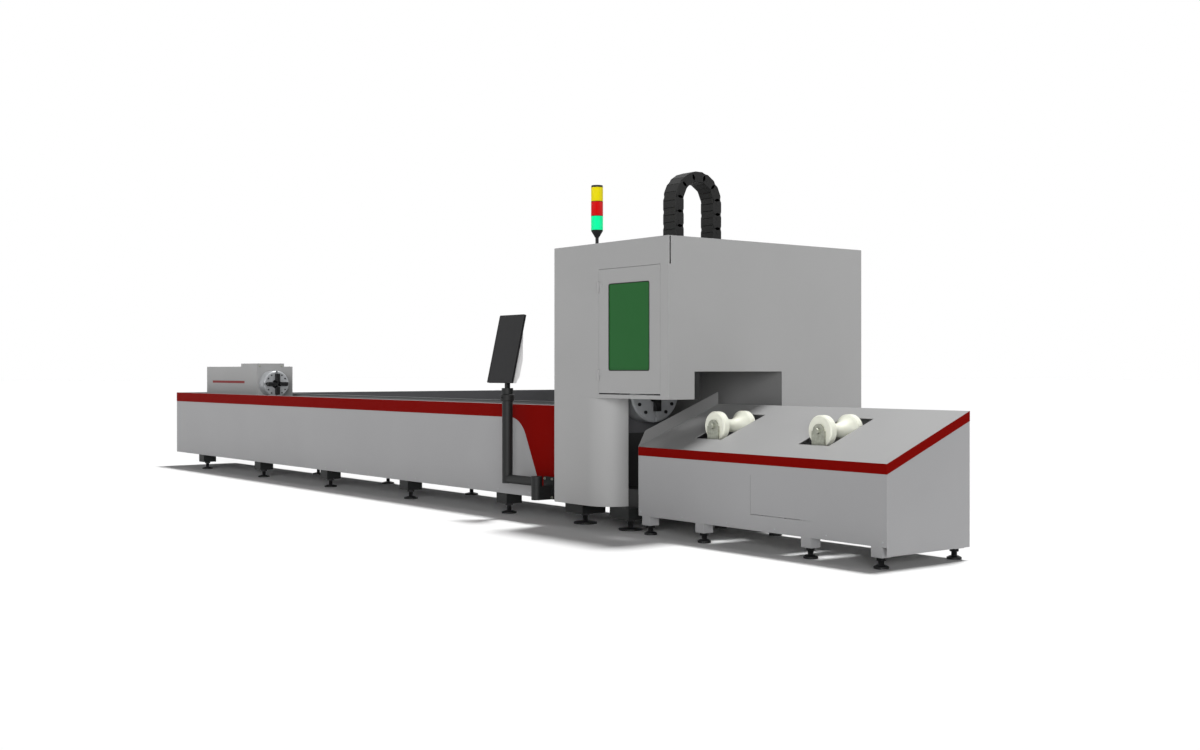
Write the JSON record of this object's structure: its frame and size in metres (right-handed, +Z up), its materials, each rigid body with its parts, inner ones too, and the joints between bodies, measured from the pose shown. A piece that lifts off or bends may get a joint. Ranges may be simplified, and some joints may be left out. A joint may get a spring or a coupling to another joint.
{
  "type": "fiber laser tube cutting machine",
  "caption": "Long bed with a travelling chuck, cutting enclosure with green window, light tower, drag chain, swing-arm monitor and a sloped roller unloading table.",
  "frame": {"origin": "centre of the footprint on the floor", "axes": "+X along the tube axis towards the unloading table, +Y to the back of the machine, +Z up"},
  "size_m": [11.256, 2.0736, 2.6271],
  "materials": {
    "grey_paint": "smooth satin paint on sheet steel",
    "table_paint": "semi-gloss paint",
    "dark_paint": "dark grey paint",
    "black_paint": "black paint",
    "black_steel": "black oxide",
    "red_paint": "deep red paint",
    "ground_steel": "ground",
    "turned_steel": "turned face",
    "head_anodised": "black anodised",
    "chain_nylon": "moulded",
    "lens_green": "ribbed translucent lens",
    "lens_red": "ribbed translucent lens",
    "lens_yellow": "ribbed translucent lens",
    "window_acrylic": "dark green laser filter pane",
    "screen_black": "dark display panel",
    "shell_white": "light moulded shell",
    "roller_nylon": "ivory nylon",
    "bracket_zinc": "zinc plated plate"
  },
  "bodies": {
    "machine": {"bed_frame": "dark_paint", "bed_front_panel": "grey_paint", "bed_front_trim": "red_paint", "bed_rear_panel": "grey_paint", "bed_rear_guard": "dark_paint", "bed_end_panel": "grey_paint", "rails_and_rack": "ground_steel", "foot_blocks": "black_paint", "levelling_feet": "black_steel", "base_frame": "black_paint", "enclosure_posts": "black_paint", "enclosure_left_wall": "grey_paint", "enclosure_right_wall": "grey_paint", "enclosure_rear_wall": "grey_paint", "enclosure_roof": "grey_paint", "enclosure_front_panel": "grey_paint", "enclosure_front_skirt": "grey_paint", "chamber_partition": "grey_paint", "door_hinges": "grey_paint", "front_chuck_housing": "dark_paint", "gantry": "dark_paint", "tower_body": "black_paint", "tower_green": "lens_green", "tower_red": "lens_red", "tower_yellow": "lens_yellow", "arm_bracket": "black_paint", "table_frame": "grey_paint", "table_front_panel": "grey_paint", "table_end_panel": "grey_paint", "table_back_panel": "grey_paint", "table_top": "table_paint", "table_fence": "grey_paint", "table_trim": "red_paint"},
    "door": {"front_door": "grey_paint", "window_pane": "window_acrylic"},
    "front_chuck": {"front_chuck_body": "turned_steel"},
    "cross_axis": {"cross_slide": "ground_steel", "drag_chain": "chain_nylon"},
    "vertical_axis": {"vertical_slide": "dark_paint", "cutting_head": "head_anodised"},
    "arm": {"monitor_arm": "black_paint"},
    "swivel": {"monitor_swivel": "black_paint"},
    "monitor": {"monitor_housing": "shell_white", "monitor_screen": "screen_black"},
    "lift_1": {"roller_lift_1": "bracket_zinc"},
    "lift_2": {"roller_lift_2": "bracket_zinc"},
    "roller_1": {"table_roller_1": "roller_nylon"},
    "roller_2": {"table_roller_2": "roller_nylon"},
    "carriage": {"carriage_base": "dark_paint", "carriage_housing": "grey_paint", "carriage_low_box": "grey_paint"},
    "rear_chuck": {"rear_chuck_body": "turned_steel"},
    "front_clamp_1": {"front_jaw_1": "black_steel"},
    "rear_clamp_1": {"rear_jaw_1": "black_steel"},
    "front_clamp_2": {"front_jaw_2": "black_steel"},
    "rear_clamp_2": {"rear_jaw_2": "black_steel"},
    "front_clamp_3": {"front_jaw_3": "black_steel"},
    "rear_clamp_3": {"rear_jaw_3": "black_steel"},
    "front_clamp_4": {"front_jaw_4": "black_steel"},
    "rear_clamp_4": {"rear_jaw_4": "black_steel"}
  },
  "joints": [
    {"name": "carriage_travel", "type": "slide", "parent": "machine", "child": "carriage", "axis": [1, 0, 0], "range_m": [0, 5.9]},
    {"name": "rear_chuck_spin", "type": "hinge", "parent": "carriage", "child": "rear_chuck", "pos_m": [-3.6242, -0.42517, 1.016], "axis": [1, 0, 0], "continuous": true},
    {"name": "front_chuck_spin", "type": "hinge", "parent": "machine", "child": "front_chuck", "pos_m": [3.054, -0.42517, 1.016], "axis": [1, 0, 0], "continuous": true},
    {"name": "rear_jaw_1_slide", "type": "slide", "parent": "rear_chuck", "child": "rear_clamp_1", "axis": [0, 0, -1], "range_m": [0, 0.03]},
    {"name": "rear_jaw_2_slide", "type": "slide", "parent": "rear_chuck", "child": "rear_clamp_2", "axis": [0, 1, 0], "range_m": [0, 0.03]},
    {"name": "rear_jaw_3_slide", "type": "slide", "parent": "rear_chuck", "child": "rear_clamp_3", "axis": [0, 0, 1], "range_m": [0, 0.03]},
    {"name": "rear_jaw_4_slide", "type": "slide", "parent": "rear_chuck", "child": "rear_clamp_4", "axis": [0, -1, 0], "range_m": [0, 0.03]},
    {"name": "front_jaw_1_slide", "type": "slide", "parent": "front_chuck", "child": "front_clamp_1", "axis": [0, 0, -1], "range_m": [0, 0.08]},
    {"name": "front_jaw_2_slide", "type": "slide", "parent": "front_chuck", "child": "front_clamp_2", "axis": [0, 1, 0], "range_m": [0, 0.08]},
    {"name": "front_jaw_3_slide", "type": "slide", "parent": "front_chuck", "child": "front_clamp_3", "axis": [0, 0, 1], "range_m": [0, 0.08]},
    {"name": "front_jaw_4_slide", "type": "slide", "parent": "front_chuck", "child": "front_clamp_4", "axis": [0, -1, 0], "range_m": [0, 0.08]},
    {"name": "door_hinge", "type": "hinge", "parent": "machine", "child": "door", "pos_m": [3.00575, -0.93207, 1.455], "axis": [0, 0, -1], "range_deg": [0, 100]},
    {"name": "head_cross_travel", "type": "slide", "parent": "machine", "child": "cross_axis", "axis": [0, 1, 0], "range_m": [-0.1, 0.1]},
    {"name": "head_lift", "type": "slide", "parent": "cross_axis", "child": "vertical_axis", "axis": [0, 0, 1], "range_m": [-0.07, 0.1], "deforming": ["drag_chain"]},
    {"name": "arm_swing", "type": "hinge", "parent": "machine", "child": "arm", "pos_m": [2.262, -0.95617, 0.31], "axis": [0, 0, 1], "range_deg": [0, 110]},
    {"name": "monitor_swivel_turn", "type": "hinge", "parent": "arm", "child": "swivel", "pos_m": [1.857, -0.95617, 1], "axis": [0, 0, 1], "range_deg": [-75, 75]},
    {"name": "monitor_tilt", "type": "hinge", "parent": "swivel", "child": "monitor", "pos_m": [1.857, -0.95617, 1.2], "axis": [1, 0, 0], "range_deg": [-10, 15]},
    {"name": "roller_1_lift", "type": "slide", "parent": "machine", "child": "lift_1", "axis": [0, 0, 1], "range_m": [0, 0.15]},
    {"name": "roller_1_spin", "type": "hinge", "parent": "lift_1", "child": "roller_1", "pos_m": [3.873, -0.42517, 0.783], "axis": [0, 1, 0], "continuous": true},
    {"name": "roller_2_lift", "type": "slide", "parent": "machine", "child": "lift_2", "axis": [0, 0, 1], "range_m": [0, 0.15]},
    {"name": "roller_2_spin", "type": "hinge", "parent": "lift_2", "child": "roller_2", "pos_m": [4.864, -0.42517, 0.783], "axis": [0, 1, 0], "continuous": true}
  ],
  "couplings": [
    {"joint": "rear_jaw_2_slide", "follows": "rear_jaw_1_slide", "ratio": 1},
    {"joint": "rear_jaw_3_slide", "follows": "rear_jaw_1_slide", "ratio": 1},
    {"joint": "rear_jaw_4_slide", "follows": "rear_jaw_1_slide", "ratio": 1},
    {"joint": "front_jaw_2_slide", "follows": "front_jaw_1_slide", "ratio": 1},
    {"joint": "front_jaw_3_slide", "follows": "front_jaw_1_slide", "ratio": 1},
    {"joint": "front_jaw_4_slide", "follows": "front_jaw_1_slide", "ratio": 1}
  ]
}
